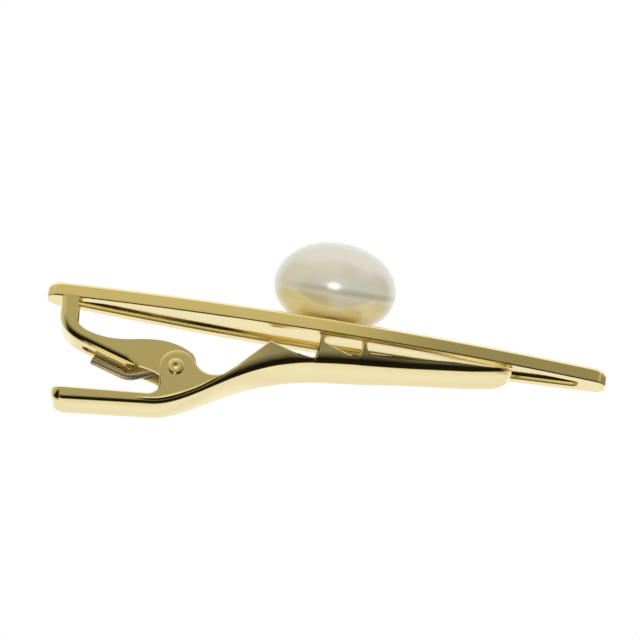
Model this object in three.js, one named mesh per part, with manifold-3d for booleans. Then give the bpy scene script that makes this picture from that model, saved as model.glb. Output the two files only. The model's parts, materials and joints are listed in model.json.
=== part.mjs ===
// A spring tie clip: a lens-shaped front bar with a button pearl, and behind it a stamped
// bracket and a toothed jaw that turn on one riveted pin and are held closed by a coil spring.
// Millimetres. X runs along the bar towards the jaw's nose, Z out of the bar's front.
// The origin is the middle of the bar's back plane.

import * as THREE from 'three';
import { mergeVertices } from 'three/addons/utils/BufferGeometryUtils.js';
import Module from 'manifold-3d';

// Fits
const seatGap = 0.02; // left where one piece sits on another
const sideGap = 0.05; // left on each side of pieces that turn past each other
const boreGap = 0.05; // around the pin
const beyond = 3; // how far a cutter reaches past what it cuts

// Front bar
const barLength = 55;
const barMiddleWidth = 7.1;
const barEndWidth = 2.9;
const barThickness = 1.55;
const barEdgeRound = 0.35;
const barCornerCut = 0.7;
const recessDepth = 0.4;
const recessLip = 1.15;
const endBlock = 2.7;

// Pearl, cup and peg
const pearlDiameter = 12.06;
const pearlHeight = 8.4; // pole to pole, before its base is cut flat
const pearlBaseDiameter = 4.6;
const cupDiameter = 4.4;
const cupThickness = 0.36;
const pegDiameter = 0.9;
const pegLength = 3.4;

// Stamped clip
const sheet = 0.38;
const bendRound = 0.6; // outer round between the bracket's web and walls
const leverRound = 0.35; // the same on the lever
const tabRound = 1.6; // of the lever's outer face where it turns up at the tab's end
const legInset = 1.45; // from the bar's end to the bracket's outer face
const legSlant = 0.1; // how far the leg leans in per unit down
const legDepth = 1.72;
const armLength = 7.3; // from the leg's outer face to the end of the web
const armSlope = 0.306;
const armDrop = 3.52; // of the arm's outer face below the bar, at the leg
const slotWidth = 1.2;
const slotLength = 4.6;

// Pivot, as seen from the top of the bracket's outer face
const pivotReach = 12.15;
const pivotDrop = 5.6;
const pinDiameter = 1.2;
const headDiameter = 1.56;
const headHeight = 0.36;

// Lever and jaw, as seen from the pivot
const tabLength = 11.45;
const tabDrop = 5.05; // of the tab's outer face at its end
const tabSlope = 0.107;
const tabWall = 1.25; // height of the tab's walls at its end
const tabWallFall = 0.021; // less per unit towards the pivot
const tabStopReach = 1.9; // from the pivot back to where the tab's flat face ends
const jawReach = 32.7;
const jawMiddleWidth = 7;
const jawNoseWidth = 6.15;
const noseRound = 2; // length over which the nose narrows
const earRadius = 1.75;
const toothReach = [8.64, 13.4, 17.6];
const toothGap = [1.65, 0.35, 0.3]; // left between each tooth and the bar
const scoopDrop = [2.72, 1.78]; // of the scoops' floors below the bar
const rimDrop = 1.3; // of the jaw's rim below the bar, behind the last tooth
const noseRimDrop = 0.2; // and at the nose
const spreadFrom = 0.7; // past the pivot, where the walls start to spread
const spreadTo = 10.4;
const narrowFrom = 1.5; // along the bar, where they start to close in again
const narrowTo = 9;
const noseSquareness = 0.75; // share of the squared width that the nose's end loses

// Spring
const wire = 0.75;
const coilGap = 0.015; // between turns
const coilBore = 1.55;
const wholeTurns = 3;
const armLegLength = 3.5;
const tabLegBend = 1.4; // from the pivot to the bend of the leg that pushes the tab
const tabLegLength = 3.6;

const shown = (color, roughness, metalness) => (
  new THREE.MeshStandardMaterial({ color, roughness, metalness })
);
const gold = shown(0xd9c47c, 0.18, 1);
const steel = shown(0x8d837c, 0.35, 1);
const nacre = shown(0xeae6dc, 0.25, 0);

const wasm = await Module();
wasm.setup();

// Places that several pieces share
const legX = -barLength / 2 + legInset;
const pivot = new THREE.Vector2(legX + pivotReach, -pivotDrop);
const webEndX = legX + armLength;
const wireRadius = wire / 2;
const coilRadius = (coilBore + wire) / 2;
const armFace = (x) => -armDrop - armSlope * (x - legX);
const tabFace = (x) => pivot.y - tabDrop + tabSlope * (x - pivot.x + tabLength);
const fromPivot = (x, z) => new THREE.Vector2(pivot.x + x, pivot.y + z);

// A closed mesh as a solid that can be joined and cut
function solid(geometry) {
  const bare = geometry.index ? geometry.clone() : geometry;
  bare.deleteAttribute('normal');
  bare.deleteAttribute('uv');
  const merged = mergeVertices(bare, 1e-5);
  return new wasm.Manifold(new wasm.Mesh({
    numProp: 3,
    vertProperties: new Float32Array(merged.attributes.position.array),
    triVerts: new Uint32Array(merged.index.array),
  }));
}

function geometryOf(body) {
  const mesh = body.getMesh();
  const geometry = new THREE.BufferGeometry();
  geometry.setAttribute('position', new THREE.BufferAttribute(mesh.vertProperties, mesh.numProp));
  geometry.setIndex(new THREE.BufferAttribute(mesh.triVerts, 1));
  return geometry;
}

function named(name, geometry, material) {
  const mesh = new THREE.Mesh(geometry, material);
  mesh.name = name;
  return mesh;
}

// An outline drawn in X and Z, extruded across Y and centred, with its edges rounded
function acrossY(outline, width, round = 0, curveSegments = 8) {
  const geometry = new THREE.ExtrudeGeometry(outline, {
    depth: width - 2 * round,
    curveSegments,
    bevelEnabled: round > 0,
    bevelThickness: round,
    bevelSize: round,
    bevelOffset: -round,
    bevelSegments: 3,
  });
  geometry.translate(0, 0, round - width / 2);
  geometry.rotateX(Math.PI / 2);
  return geometry;
}

// An outline drawn in X and Y, extruded from one height to another
function upZ(outline, low, high, round = 0) {
  const geometry = new THREE.ExtrudeGeometry(outline, {
    depth: high - low - 2 * round,
    curveSegments: 20,
    bevelEnabled: round > 0,
    bevelThickness: round,
    bevelSize: round,
    bevelOffset: -round,
    bevelSegments: 3,
  });
  return geometry.translate(0, 0, low + round);
}

function turnedAboutZ(profile, segments) {
  return new THREE.LatheGeometry(profile, segments).rotateX(Math.PI / 2);
}

function box(low, high) {
  const size = high.clone().sub(low);
  const middle = high.clone().add(low).multiplyScalar(0.5);
  return new THREE.BoxGeometry(size.x, size.y, size.z).translate(middle.x, middle.y, middle.z);
}

// The bar in plan: two arcs that meet short ends with cut corners, taken in by an inset
function barOutline(halfLength, inset, cornerCut) {
  const sagitta = (barMiddleWidth - barEndWidth) / 2;
  const radius = ((barLength / 2) ** 2 + sagitta ** 2) / (2 * sagitta);
  const centre = radius - barMiddleWidth / 2;
  const reach = halfLength - cornerCut;
  const turn = Math.asin(reach / (radius - inset));
  const halfEnd = (radius - inset) * Math.cos(turn) - centre - cornerCut;
  const outline = new THREE.Shape();
  outline.absarc(0, centre, radius - inset, -Math.PI / 2 - turn, -Math.PI / 2 + turn, false);
  outline.lineTo(halfLength, -halfEnd);
  outline.lineTo(halfLength, halfEnd);
  outline.absarc(0, -centre, radius - inset, Math.PI / 2 - turn, Math.PI / 2 + turn, false);
  outline.lineTo(-halfLength, halfEnd);
  outline.lineTo(-halfLength, -halfEnd);
  return outline;
}

function frontBar() {
  const plan = barOutline(barLength / 2, 0, barCornerCut);
  const blank = upZ(plan, -beyond, barThickness, barEdgeRound);
  const below = box(
    new THREE.Vector3(-barLength, -barMiddleWidth, -2 * beyond),
    new THREE.Vector3(barLength, barMiddleWidth, 0),
  );
  const recessEnd = barLength / 2 - endBlock;
  const recess = upZ(barOutline(recessEnd, recessLip, recessLip / 4), -beyond, recessDepth);
  return geometryOf(solid(blank).subtract(solid(below)).subtract(solid(recess)));
}

const cupBottom = barThickness + seatGap;
const pearlBase = cupBottom + cupThickness + seatGap;
const pegTop = cupBottom + pegLength;

function pearlCup() {
  const bore = pegDiameter / 2 + seatGap;
  const rim = cupDiameter / 2;
  const top = cupBottom + cupThickness;
  const profile = [
    new THREE.Vector2(bore, cupBottom),
    new THREE.Vector2(rim - cupThickness / 2, cupBottom),
    new THREE.Vector2(rim, cupBottom + cupThickness / 2),
    new THREE.Vector2(rim, top),
    new THREE.Vector2(bore, top),
    new THREE.Vector2(bore, cupBottom),
  ];
  return turnedAboutZ(profile, 32);
}

function pearlPeg() {
  const radius = pegDiameter / 2;
  const tip = radius / 2;
  const profile = [
    new THREE.Vector2(0, cupBottom),
    new THREE.Vector2(radius, cupBottom),
    new THREE.Vector2(radius, pegTop - tip),
    new THREE.Vector2(radius - tip, pegTop),
    new THREE.Vector2(0, pegTop),
  ];
  return turnedAboutZ(profile, 20);
}

// A button pearl: a flattened ball cut flat below, with a half-drilled hole for the peg
function pearl() {
  const equator = pearlDiameter / 2;
  const halfHeight = pearlHeight / 2;
  const start = Math.acos(pearlBaseDiameter / pearlDiameter);
  const middle = pearlBase + halfHeight * Math.sin(start);
  const hole = pegDiameter / 2 + boreGap;
  const profile = [
    new THREE.Vector2(0, pegTop + boreGap),
    new THREE.Vector2(hole, pegTop + boreGap),
    new THREE.Vector2(hole, pearlBase),
  ];
  const steps = 14;
  for (let step = 0; step < steps; step += 1) {
    const turn = -start + (step / steps) * (start + Math.PI / 2);
    profile.push(new THREE.Vector2(equator * Math.cos(turn), middle + halfHeight * Math.sin(turn)));
  }
  profile.push(new THREE.Vector2(0, middle + halfHeight));
  return turnedAboutZ(profile, 40);
}

// The spring lies in one plane on each side of its coil. Its legs leave the coil as tangents:
// one from the top down to the arm's outer face, one from the bottom to the tab's inner face.
const armLegLift = (wireRadius + seatGap) * Math.hypot(1, armSlope);
const tabLegLift = (sheet + wireRadius + seatGap) * Math.hypot(1, tabSlope);
const armTipX = webEndX - armLegLength;
const armLegTip = new THREE.Vector2(armTipX, armFace(armTipX) - armLegLift);
const armBendX = webEndX + 0.4 * wire;
const armBend = new THREE.Vector2(armBendX, armFace(armBendX) - armLegLift);
const tabBendX = pivot.x - tabLegBend;
const tabBend = new THREE.Vector2(tabBendX, tabFace(tabBendX) + tabLegLift);
const tabTipX = tabBendX - tabLegLength;
const tabLegTip = new THREE.Vector2(tabTipX, tabFace(tabTipX) + tabLegLift);

// Angle about the pivot at which a tangent from a point touches the coil, above or below
function tangentAngle(point, side) {
  const away = point.clone().sub(pivot);
  return Math.atan2(away.y, away.x) - side * Math.acos(coilRadius / away.length());
}

const armAngle = tangentAngle(armBend, 1) + 2 * Math.PI * (armBend.y < pivot.y ? 1 : 0);
const tabAngle = tangentAngle(tabBend, -1);
const coilTurn = armAngle - tabAngle + 2 * Math.PI * wholeTurns;
const coilTravel = (coilTurn / (2 * Math.PI)) * (wire + coilGap);

// Widths, from the coil outwards
const bracketInside = coilTravel + wire + 2 * sideGap;
const bracketWidth = bracketInside + 2 * sheet;
const leverInside = bracketWidth + 2 * sideGap;
const leverWidth = leverInside + 2 * sheet;

class Coil extends THREE.Curve {
  getPoint(share, target = new THREE.Vector3()) {
    const turn = tabAngle + share * coilTurn;
    return target.set(
      pivot.x + coilRadius * Math.cos(turn),
      (share - 0.5) * coilTravel,
      pivot.y + coilRadius * Math.sin(turn),
    );
  }
}

// A leg from its tip through one rounded bend to the coil
function legCurves(tip, bend, angle, y) {
  const place = (point) => new THREE.Vector3(point.x, y, point.y);
  const touch = fromPivot(coilRadius * Math.cos(angle), coilRadius * Math.sin(angle));
  const before = bend.clone().add(tip.clone().sub(bend).setLength(wire));
  const after = bend.clone().add(touch.clone().sub(bend).setLength(wire));
  return [
    new THREE.LineCurve3(place(tip), place(before)),
    new THREE.QuadraticBezierCurve3(place(before), place(bend), place(after)),
    new THREE.LineCurve3(place(after), place(touch)),
  ];
}

function reversed(curves) {
  return curves.reverse().map((curve) => {
    if (curve instanceof THREE.LineCurve3) return new THREE.LineCurve3(curve.v2, curve.v1);
    return new THREE.QuadraticBezierCurve3(curve.v2, curve.v1, curve.v0);
  });
}

function torsionSpring() {
  const path = new THREE.CurvePath();
  path.curves.push(...legCurves(tabLegTip, tabBend, tabAngle, -coilTravel / 2));
  path.curves.push(new Coil());
  path.curves.push(...reversed(legCurves(armLegTip, armBend, armAngle, coilTravel / 2)));
  const section = new THREE.Shape().absarc(0, 0, wireRadius, 0, 2 * Math.PI, false);
  return new THREE.ExtrudeGeometry(section, { steps: 90, curveSegments: 5, extrudePath: path });
}

// A channel bent from sheet: a thick slab with rounded edges, hollowed by the same slab taken in
function channel(slab, width, inside, round) {
  const outer = solid(acrossY(slab(0), width, round));
  const inner = solid(acrossY(slab(sheet), inside, Math.max(round - sheet, sheet / 4)));
  return outer.subtract(inner);
}

function pinHole(width) {
  const radius = pinDiameter / 2 + boreGap;
  const hole = new THREE.Shape().absarc(pivot.x, pivot.y, radius, 0, 2 * Math.PI, false);
  return solid(acrossY(hole, width, 0, 16));
}

// The bracket from the side, its outer face taken in by an inset and closed well above the walls
function bracketSlab(inset) {
  const left = (z) => legX - legSlant * z + inset;
  const below = (x) => armFace(x) + inset * Math.hypot(1, armSlope);
  const right = pivot.x + 2 * earRadius;
  const cornerX = left(armFace(legX));
  const slab = new THREE.Shape();
  slab.moveTo(left(beyond), beyond);
  slab.lineTo(left(-armDrop / 2), -armDrop / 2);
  slab.quadraticCurveTo(cornerX, below(cornerX), cornerX + 2.5, below(cornerX + 2.5));
  slab.lineTo(right, below(right));
  slab.lineTo(right, beyond);
  return slab;
}

// The edge of the bracket's walls: down the leg, along the arm, over and under the ear
function bracketWalls() {
  const ear = fromPivot(0, 0.4);
  const radius = 1.9;
  const topTurn = 0.7;
  const underTurn = -2.2;
  const earTop = ear.y + 2.14;
  const onEar = (turn) => [ear.x + radius * Math.cos(turn), ear.y + radius * Math.sin(turn)];
  const legEdge = (z) => legX + legDepth - legSlant * z;
  const armTop = -3.62;
  const flareX = webEndX + 1.1;
  const webEnd = armFace(webEndX);
  const under = pivot.y - beyond;
  const outline = new THREE.Shape();
  outline.moveTo(legX - beyond, -seatGap);
  outline.lineTo(legEdge(0), -seatGap);
  outline.lineTo(legEdge(-2.2), -2.2);
  outline.bezierCurveTo(
    legEdge(-2.9) + 0.1, -3, legX + 3.2, armFace(legX) + 0.05, legX + 5.2, armTop,
  );
  outline.bezierCurveTo(legX + 7.6, armTop, legX + 8.2, earTop, ear.x - 1.7, earTop);
  outline.bezierCurveTo(ear.x - 0.6, earTop, ear.x + 0.7, ear.y + 1.75, ...onEar(topTurn));
  outline.absarc(ear.x, ear.y, radius, topTurn, underTurn, true);
  outline.bezierCurveTo(ear.x - 1.6, ear.y - 1, flareX + 0.5, webEnd - 0.15, flareX, webEnd - 0.2);
  outline.lineTo(flareX, under);
  outline.lineTo(legX - beyond, under);
  return outline;
}

// The slot in the bracket's web, round at its blind end and open towards the pivot
function slotOutline() {
  const radius = slotWidth / 2;
  const blind = webEndX - slotLength + radius;
  const outline = new THREE.Shape();
  outline.absarc(blind, 0, radius, Math.PI / 2, (3 * Math.PI) / 2, false);
  outline.lineTo(webEndX + radius, -radius);
  outline.lineTo(webEndX + radius, radius);
  return outline;
}

function clipBracket() {
  const bent = channel(bracketSlab, bracketWidth, bracketInside, bendRound);
  const walls = solid(acrossY(bracketWalls(), 2 * bracketWidth));
  const slot = solid(upZ(slotOutline(), pivot.y - beyond, armFace(legX) + 1));
  const pastWeb = solid(box(
    new THREE.Vector3(webEndX, -bracketInside / 2, pivot.y - 2 * beyond),
    new THREE.Vector3(pivot.x + 2 * beyond, bracketInside / 2, beyond),
  ));
  const pinned = pinHole(2 * bracketWidth);
  return geometryOf(bent.intersect(walls).subtract(slot).subtract(pastWeb).subtract(pinned));
}

// The lever from the side: along the tab, under the pivot, up to the jaw and round its nose.
// Its inner face is the same line moved in along its own slope.
function leverSlab(inset) {
  const end = pivot.x - tabLength + inset;
  const tab = (x) => tabFace(x) + inset * Math.hypot(1, tabSlope);
  const turnUp = tabRound - inset;
  const tabStop = pivot.x - tabStopReach;
  const inwards = (point, slope) => {
    const length = Math.hypot(1, slope);
    return [point.x - (inset * slope) / length, point.y + inset / length];
  };
  const throatSlope = 0.64;
  const riseSlope = 0.2;
  const jawSlope = 0.118;
  const front = fromPivot(28.1, 4.17);
  const nose = pivot.x + jawReach - inset;
  const slab = new THREE.Shape();
  slab.moveTo(end, beyond);
  slab.lineTo(end, tab(end) + turnUp);
  slab.quadraticCurveTo(end, tab(end), end + turnUp, tab(end + turnUp));
  slab.lineTo(tabStop, tab(tabStop));
  slab.bezierCurveTo(
    ...inwards(fromPivot(-0.1, -3.88), tabSlope),
    ...inwards(fromPivot(1.5, -2.87), throatSlope),
    ...inwards(fromPivot(4.3, -1.08), throatSlope),
  );
  slab.bezierCurveTo(
    ...inwards(fromPivot(6.6, 0.4), throatSlope),
    ...inwards(fromPivot(8.9, 1.55), riseSlope),
    ...inwards(fromPivot(11.86, 2.18), riseSlope),
  );
  slab.bezierCurveTo(
    ...inwards(fromPivot(14.1, 2.63), riseSlope),
    ...inwards(fromPivot(16.5, 2.8), jawSlope),
    ...inwards(fromPivot(18.9, 3.08), jawSlope),
  );
  slab.lineTo(...inwards(front, jawSlope));
  slab.bezierCurveTo(front.x + 2.4, front.y + 0.28 + inset, nose, front.y + 0.53 + inset, nose, 1);
  slab.lineTo(nose, beyond);
  return slab;
}

// The edge of the lever's walls: along the tab, round the ear, then up and over the teeth
function leverWalls() {
  const tabEnd = pivot.x - tabLength;
  const tabTop = (x) => tabFace(x) + tabWall - tabWallFall * (x - tabEnd);
  const tabStop = pivot.x - 2.35;
  const past = pivot.x + jawReach + beyond;
  const under = pivot.y - 3 * beyond;
  const [first, second, third] = toothReach.map((reach) => pivot.x + reach);
  const [firstTip, secondTip, thirdTip] = toothGap.map((gap) => -gap);
  const [firstFloor, secondFloor] = scoopDrop.map((drop) => -drop);
  const at = (x, z) => [pivot.x + x, pivot.y + z];
  const outline = new THREE.Shape();
  outline.moveTo(tabEnd - beyond, tabTop(tabEnd - beyond));
  outline.lineTo(tabStop, tabTop(tabStop));
  outline.bezierCurveTo(
    tabStop + 0.85, tabTop(tabStop) + 0.08, ...at(-1.15, -2.3), ...at(-1.3, -1.6),
  );
  outline.lineTo(...at(-1.58, -0.3));
  outline.absarc(pivot.x + 0.15, pivot.y, earRadius, Math.PI, Math.PI / 4, true);
  outline.lineTo(...at(2.1, 0.37));
  outline.bezierCurveTo(...at(2.6, -0.05), ...at(3.1, -0.25), ...at(3.83, -0.2));
  outline.bezierCurveTo(...at(4.6, -0.15), ...at(5, 0.3), ...at(5.4, 0.65));
  outline.lineTo(first - 0.12, firstTip - 0.1);
  outline.quadraticCurveTo(first, firstTip, first + 0.15, firstTip - 0.1);
  outline.bezierCurveTo(
    first + 1.35, firstTip - 0.55, second - 1.7, firstFloor, second - 0.45, firstFloor,
  );
  outline.lineTo(second - 0.2, firstFloor + 0.15);
  outline.lineTo(second - 0.1, secondTip);
  outline.lineTo(second + 0.15, secondTip);
  outline.lineTo(second + 0.35, secondTip - 0.6);
  outline.bezierCurveTo(
    second + 1.5, secondTip - 1.1, third - 1.6, secondFloor - 0.05, third - 0.4, secondFloor,
  );
  outline.lineTo(third - 0.2, secondFloor + 0.15);
  outline.lineTo(third - 0.1, thirdTip);
  outline.lineTo(third + 0.15, thirdTip);
  outline.lineTo(third + 0.45, -rimDrop);
  outline.lineTo(third + 4, -rimDrop + 0.15);
  outline.lineTo(third + 8.8, -rimDrop + 0.55);
  outline.lineTo(third + 12.7, -rimDrop + 0.68);
  outline.lineTo(pivot.x + jawReach, -noseRimDrop);
  outline.lineTo(past, -noseRimDrop);
  outline.lineTo(past, under);
  outline.lineTo(tabEnd - beyond, under);
  return outline;
}

// Past the ears the walls spread to the jaw's width and keep their thickness; they close in a
// little towards the front, and round the nose
function spreadJaw(vertex) {
  const [x, y] = vertex;
  const { smoothstep } = THREE.MathUtils;
  const middle = (jawMiddleWidth - leverWidth) / 2;
  const front = (jawNoseWidth - leverWidth) / 2;
  const extra = middle * smoothstep(x, pivot.x + spreadFrom, pivot.x + spreadTo)
    - (middle - front) * smoothstep(x, narrowFrom, narrowTo);
  const flat = leverInside / 2 - leverRound;
  const wide = y + Math.sign(y) * extra * Math.min(1, Math.abs(y) / flat);
  const share = Math.max(0, (x - pivot.x - jawReach + noseRound) / noseRound);
  vertex[1] = wide * Math.sqrt(1 - noseSquareness * share ** 2);
}

function jawLever() {
  const bent = channel(leverSlab, leverWidth, leverInside, leverRound);
  const walls = solid(acrossY(leverWalls(), 2 * leverWidth));
  const straight = bent.intersect(walls).subtract(pinHole(2 * leverWidth));
  return geometryOf(straight.refineToLength(1.5).warp(spreadJaw));
}

function pivotPin() {
  const shoulder = leverWidth / 2 + seatGap;
  const shaft = pinDiameter / 2;
  const head = headDiameter / 2;
  const dome = [0, 1, 2, 3].map((step) => {
    const turn = (step / 4) * (Math.PI / 2);
    return new THREE.Vector2(head * Math.cos(turn), shoulder + headHeight * Math.sin(turn));
  });
  const lower = dome.map((point) => new THREE.Vector2(point.x, -point.y)).reverse();
  const profile = [
    new THREE.Vector2(0, -shoulder - headHeight),
    ...lower,
    new THREE.Vector2(shaft, -shoulder),
    new THREE.Vector2(shaft, shoulder),
    ...dome,
    new THREE.Vector2(0, shoulder + headHeight),
  ];
  return new THREE.LatheGeometry(profile, 24).translate(pivot.x, 0, pivot.y);
}

const tieClip = new THREE.Group();
tieClip.add(
  named('front_bar', frontBar(), gold),
  named('pearl_cup', pearlCup(), gold),
  named('pearl_peg', pearlPeg(), gold),
  named('pearl', pearl(), nacre),
  named('clip_bracket', clipBracket(), gold),
  named('pivot_pin', pivotPin(), gold),
  named('torsion_spring', torsionSpring(), steel),
  named('jaw_lever', jawLever(), gold),
);

export default tieClip;
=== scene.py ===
import json

import bmesh
import bpy
import numpy as np
from mathutils import Matrix, Vector


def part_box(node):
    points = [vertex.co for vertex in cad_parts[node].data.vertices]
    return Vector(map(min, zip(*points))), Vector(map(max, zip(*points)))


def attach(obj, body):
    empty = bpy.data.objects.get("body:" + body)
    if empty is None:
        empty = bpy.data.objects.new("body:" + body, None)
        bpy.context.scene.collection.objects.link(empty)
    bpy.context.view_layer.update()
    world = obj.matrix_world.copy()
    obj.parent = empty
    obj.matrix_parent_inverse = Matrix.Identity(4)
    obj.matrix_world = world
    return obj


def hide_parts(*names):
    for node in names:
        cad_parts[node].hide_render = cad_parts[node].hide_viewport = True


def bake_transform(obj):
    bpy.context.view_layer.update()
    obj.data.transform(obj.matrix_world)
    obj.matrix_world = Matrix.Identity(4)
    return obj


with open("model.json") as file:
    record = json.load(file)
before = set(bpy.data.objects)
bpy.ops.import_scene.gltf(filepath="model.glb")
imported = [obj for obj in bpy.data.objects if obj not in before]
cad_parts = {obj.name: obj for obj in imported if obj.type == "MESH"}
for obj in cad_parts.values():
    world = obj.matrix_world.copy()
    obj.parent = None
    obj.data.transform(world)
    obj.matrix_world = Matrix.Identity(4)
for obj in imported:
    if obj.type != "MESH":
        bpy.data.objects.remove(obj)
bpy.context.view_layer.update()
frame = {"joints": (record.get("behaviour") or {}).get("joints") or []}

# The studio. The clip hangs in a pale room over a pale floor, seen from in front and a little
# below. Its polished gold shows the room: white above, behind and underneath, a warm grey
# in front, and a black card low in front that draws the dark bands along its folded edges.
mm = 0.001
room_white = (1.0, 1.0, 1.0, 1.0)
room_front = (0.60, 0.54, 0.34, 1.0)
room_card = (0.012, 0.010, 0.006, 1.0)
room_left = (0.58, 0.54, 0.37, 1.0)
room_right = (0.26, 0.235, 0.16, 1.0)
room_dusk = (0.24, 0.235, 0.17, 1.0)
room_low = (0.52, 0.47, 0.33, 1.0)
room_mid = (0.74, 0.69, 0.55, 1.0)
room_soft = (0.86, 0.83, 0.74, 1.0)
# The room's tone by the turn about the bar's length: 0 is behind, 0.25 above, 0.5 in front and
# 0.75 below. A narrow white strip underneath draws a bright line along each crowned face.
room_ring = [
    (0.0, room_white), (0.36, room_white), (0.41, room_front), (0.452, room_front),
    (0.520, room_dusk), (0.590, room_card), (0.822, room_card), (0.845, room_low),
    (0.915, room_mid), (0.934, room_soft), (0.946, room_white), (0.956, room_soft),
    (0.966, room_soft), (0.985, room_white), (1.0, room_white),
]
side_starts, side_ends = 0.72, 0.97
fade_starts, fade_ends, fade_left = -0.02, 0.17, 0.52
front_starts, front_ends = 0.55, 0.85


class Tone:
    """A socket of a shader tree. Arithmetic on it adds Math nodes, and node() adds any other node."""

    def __init__(self, tree, socket=None):
        self.tree = tree
        self.socket = socket

    def node(self, kind, settings=(), inputs=(), output=0):
        """Adds a node: its settings come first, a ramp's stops as (place, colour), then its sockets,
        each linked or set."""
        made = self.tree.nodes.new(kind)
        for key, value in dict(settings).items():
            if key == "stops":
                ramp = made.color_ramp.elements
                ramp[0].position, ramp[0].color = value[0]
                ramp[1].position, ramp[1].color = value[-1]
                for place, colour in value[1:-1]:
                    ramp.new(place).color = colour
            else:
                setattr(made, key, value)
        for key, value in dict(inputs).items():
            if isinstance(value, Tone):
                self.tree.links.new(value.socket, made.inputs[key])
            else:
                made.inputs[key].default_value = value
        return Tone(self.tree, made.outputs[output] if len(made.outputs) else None)

    def maths(self, operation, first, second=0.0):
        return self.node("ShaderNodeMath", {"operation": operation}, {0: first, 1: second})

    def __add__(self, other):
        return self.maths("ADD", self, other)

    def __sub__(self, other):
        return self.maths("SUBTRACT", self, other)

    def __rsub__(self, other):
        return self.maths("SUBTRACT", other, self)

    def __mul__(self, other):
        return self.maths("MULTIPLY", self, other)

    def __truediv__(self, other):
        return self.maths("DIVIDE", self, other)

    __radd__, __rmul__ = __add__, __mul__


room = bpy.data.worlds.new("pale_room")
room.use_nodes = True
room.node_tree.nodes.clear()
bpy.context.scene.world = room
walls = Tone(room.node_tree)
way = walls.node("ShaderNodeTexCoord", output="Generated")
along, ahead, up = (walls.node("ShaderNodeSeparateXYZ", (), {0: way}, axis) for axis in (0, 1, 2))
turn = walls.maths("FRACT", walls.maths("ARCTAN2", up, ahead) / (2 * np.pi) + 1.0)
ring = walls.node("ShaderNodeValToRGB", {"stops": room_ring}, {0: turn})
eased = {"interpolation_type": "SMOOTHSTEP"}
of_colours = {"data_type": "RGBA"}
sideways = walls.node(
    "ShaderNodeMapRange",
    eased,
    {"Value": walls.maths("ABSOLUTE", along), "From Min": side_starts, "From Max": side_ends},
)
side_tone = walls.node(
    "ShaderNodeMix", of_colours, {0: along * 0.6 + 0.5, 6: room_left, 7: room_right}, 2
)
fade = walls.node(
    "ShaderNodeMapRange",
    eased,
    {"Value": along, "From Min": fade_starts, "From Max": fade_ends, "To Min": 1.0, "To Max": fade_left},
)
in_front = walls.node(
    "ShaderNodeMapRange",
    eased,
    {"Value": 0.0 - ahead, "From Min": front_starts, "From Max": front_ends},
)
dimmed = walls.node(
    "ShaderNodeMix",
    {"data_type": "RGBA", "blend_type": "MULTIPLY"},
    {0: in_front, 6: ring, 7: walls.node("ShaderNodeCombineColor", (), {0: fade, 1: fade, 2: fade})},
    2,
)
walls_seen = walls.node("ShaderNodeMix", of_colours, {0: sideways, 6: dimmed, 7: side_tone}, 2)
reflected = walls.node("ShaderNodeBackground", (), {"Color": walls_seen, "Strength": 1.0})
behind = walls.node("ShaderNodeBackground", (), {"Color": room_white, "Strength": 1.0})
direct = walls.node("ShaderNodeLightPath", output="Is Camera Ray")
walls.node(
    "ShaderNodeOutputWorld",
    (),
    {"Surface": walls.node("ShaderNodeMixShader", (), {0: direct, 1: reflected, 2: behind})},
)

camera_fall = np.radians(19.0)
camera_roll = np.radians(9.2)
camera_aim = np.array([-0.95, 0.0, 2.3]) * mm
camera_distance = 0.3
camera_field = 0.0625
looking = np.array([0.0, np.cos(camera_fall), np.sin(camera_fall)])
level = np.array([1.0, 0.0, 0.0])
upright = np.array([0.0, -np.sin(camera_fall), np.cos(camera_fall)])
right = np.cos(camera_roll) * level + np.sin(camera_roll) * upright
top = np.cos(camera_roll) * upright - np.sin(camera_roll) * level
camera_data = bpy.data.cameras.new("camera")
camera_data.sensor_width = 36.0
camera_data.lens = 36.0 * camera_distance / camera_field
camera_data.clip_start, camera_data.clip_end = 0.01, 20.0
camera = bpy.data.objects.new("camera", camera_data)
camera.matrix_world = Matrix.Translation(Vector(camera_aim - looking * camera_distance)) @ Matrix(
    [[*row, 0.0] for row in np.stack([right, top, -looking], 1)] + [[0.0, 0.0, 0.0, 1.0]]
)
bpy.context.scene.collection.objects.link(camera)
bpy.context.scene.camera = camera
bpy.context.scene.view_settings.view_transform = "Standard"

floor_drop = 0.45
floor_half = 3.0
paper_grey = (0.90, 0.89, 0.87, 1.0)
paper_white = (0.93, 0.925, 0.91, 1.0)
floor_mesh = bpy.data.meshes.new("floor")
floor_mesh.from_pydata(
    [(x * floor_half, y * floor_half, 0) for x, y in ((-1, -1), (1, -1), (1, 1), (-1, 1))],
    [],
    [(0, 1, 2, 3)],
)
floor_mesh.transform(Matrix.Translation((0, 0, -floor_drop)))
floor = bpy.data.objects.new("floor", floor_mesh)
bpy.context.scene.collection.objects.link(floor)
floor.visible_glossy = False
paper = bpy.data.materials.new("pale_paper")
paper.use_nodes = True
paper.node_tree.nodes.clear()
sheet_of = Tone(paper.node_tree)
paper_place = sheet_of.node("ShaderNodeTexCoord", output="Object")
paper_cloud = sheet_of.node(
    "ShaderNodeTexNoise", (), {"Vector": paper_place, "Scale": 9.0, "Detail": 4.0}, "Fac"
)
paper_tone = sheet_of.node(
    "ShaderNodeMix", of_colours, {0: paper_cloud, 6: paper_grey, 7: paper_white}, 2
)
paper_coat = sheet_of.node("ShaderNodeBsdfPrincipled", (), {"Base Color": paper_tone, "Roughness": 0.9})
sheet_of.node("ShaderNodeOutputMaterial", (), {"Surface": paper_coat})
floor.data.materials.append(paper)

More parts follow.
